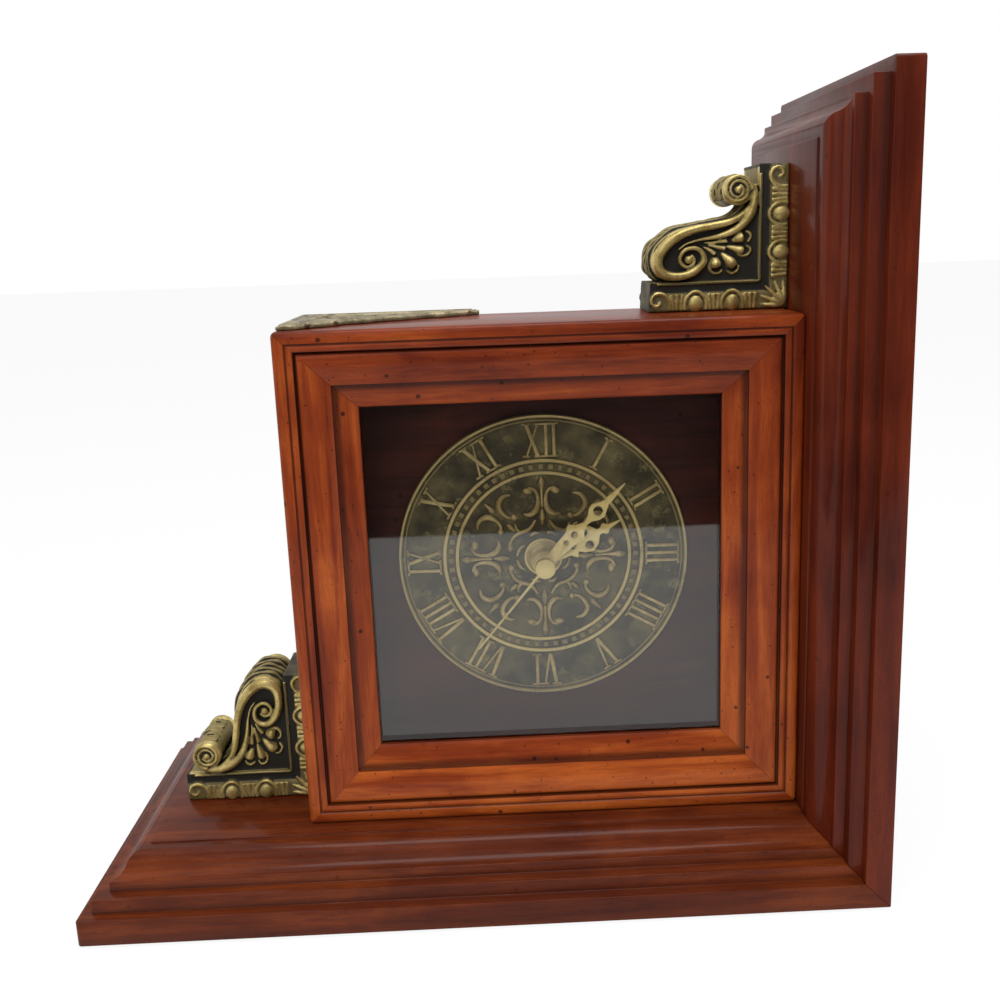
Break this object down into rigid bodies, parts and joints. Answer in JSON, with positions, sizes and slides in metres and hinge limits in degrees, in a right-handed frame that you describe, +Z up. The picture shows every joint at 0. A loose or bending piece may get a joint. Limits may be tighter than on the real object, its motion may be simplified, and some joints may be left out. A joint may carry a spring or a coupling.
{
  "type": "desk clock",
  "caption": "Wooden desk clock: a framed square case with a cast dial behind glass, on an L-shaped moulded stand with cast scroll brackets.",
  "frame": {"origin": "middle of the footprint, on the surface that the clock stands on", "axes": "+X to the viewer's right, towards the upright; +Y to the back of the clock; +Z up. The dial faces -Y."},
  "size_m": [0.268, 0.126, 0.269],
  "materials": {
    "lacquered_wood": "red-brown lacquer, satin, lightly distressed",
    "dark_wood": "dark red-brown stain under glass",
    "plain_wood": "unfinished softwood",
    "green_felt": "felt",
    "steel": "turned",
    "glass": "clear, polished",
    "antique_brass": "aged, dark in the recesses",
    "dark_brass": "aged, nearly black in the recesses",
    "pale_gold": "polished, lacquered",
    "turned_brass": "turned",
    "black_plastic": "fine texture",
    "white_plastic": "moulded",
    "rubber": "matt",
    "magnet": "sintered, dull",
    "copper_wire": "enamelled copper wire",
    "circuit": "solder resist",
    "battery_sleeve": "printed sleeve, left plain"
  },
  "bodies": {
    "clock": {"base_board": "lacquered_wood", "upright_board": "lacquered_wood", "mitre_dowels": "plain_wood", "felt_pads": "green_felt", "frame_bottom": "lacquered_wood", "frame_right": "lacquered_wood", "frame_top": "lacquered_wood", "frame_left": "lacquered_wood", "case_bottom_panel": "lacquered_wood", "case_right_panel": "lacquered_wood", "case_top_panel": "lacquered_wood", "case_left_panel": "lacquered_wood", "glass_pane": "glass", "glass_beads": "dark_wood", "dial_battens": "dark_wood", "dial_board": "dark_wood", "corner_blocks": "plain_wood", "back_panel": "plain_wood", "back_screws": "steel", "dial": "dark_brass", "movement_case": "black_plastic", "middle_plate": "white_plastic", "movement_cover": "black_plastic", "threaded_bush": "turned_brass", "rubber_washer": "rubber", "dial_washer": "turned_brass", "dial_nut": "turned_brass", "stator": "steel", "stator_posts": "white_plastic", "coil_bobbin": "white_plastic", "coil_winding": "copper_wire", "circuit_board": "circuit", "quartz_crystal": "steel", "battery": "battery_sleeve", "positive_contact": "steel", "negative_contact": "steel", "upper_bracket": "antique_brass", "lower_bracket": "antique_brass", "top_ornament": "dark_brass"},
    "seconds": {"seconds_wheel": "white_plastic", "second_hand": "pale_gold"},
    "intermediate": {"intermediate_wheel": "white_plastic"},
    "rotor": {"rotor_pinion": "white_plastic", "rotor_magnet": "magnet"},
    "third": {"third_wheel": "white_plastic"},
    "centre": {"centre_wheel": "white_plastic"},
    "minutes": {"cannon_pinion": "turned_brass", "minute_hand": "pale_gold"},
    "motion": {"motion_wheel": "white_plastic", "setting_knob": "black_plastic"},
    "hours": {"hour_wheel": "white_plastic", "hour_hand": "pale_gold"}
  },
  "joints": [
    {"name": "seconds_turn", "type": "hinge", "parent": "clock", "child": "seconds", "pos_m": [0.0242, 0, 0.1108], "axis": [0, 1, 0], "continuous": true},
    {"name": "intermediate_turn", "type": "hinge", "parent": "clock", "child": "intermediate", "pos_m": [0.0242, 0, 0.1178], "axis": [0, 1, 0], "continuous": true},
    {"name": "rotor_turn", "type": "hinge", "parent": "clock", "child": "rotor", "pos_m": [0.0242, 0, 0.12308], "axis": [0, 1, 0], "continuous": true},
    {"name": "third_turn", "type": "hinge", "parent": "clock", "child": "third", "pos_m": [0.03217, 0, 0.1154], "axis": [0, 1, 0], "continuous": true},
    {"name": "centre_turn", "type": "hinge", "parent": "clock", "child": "centre", "pos_m": [0.0242, 0, 0.1108], "axis": [0, 1, 0], "continuous": true},
    {"name": "minutes_turn", "type": "hinge", "parent": "clock", "child": "minutes", "pos_m": [0.0242, 0, 0.1108], "axis": [0, 1, 0], "continuous": true},
    {"name": "motion_turn", "type": "hinge", "parent": "clock", "child": "motion", "pos_m": [0.01589, 0, 0.1156], "axis": [0, 1, 0], "continuous": true},
    {"name": "hours_turn", "type": "hinge", "parent": "clock", "child": "hours", "pos_m": [0.0242, 0, 0.1108], "axis": [0, 1, 0], "continuous": true}
  ],
  "couplings": [
    {"joint": "intermediate_turn", "follows": "seconds_turn", "ratio": -6},
    {"joint": "rotor_turn", "follows": "seconds_turn", "ratio": 30},
    {"joint": "third_turn", "follows": "seconds_turn", "ratio": -0.13333},
    {"joint": "centre_turn", "follows": "seconds_turn", "ratio": 0.016667},
    {"joint": "motion_turn", "follows": "minutes_turn", "ratio": -0.33333},
    {"joint": "hours_turn", "follows": "minutes_turn", "ratio": 0.083333}
  ]
}
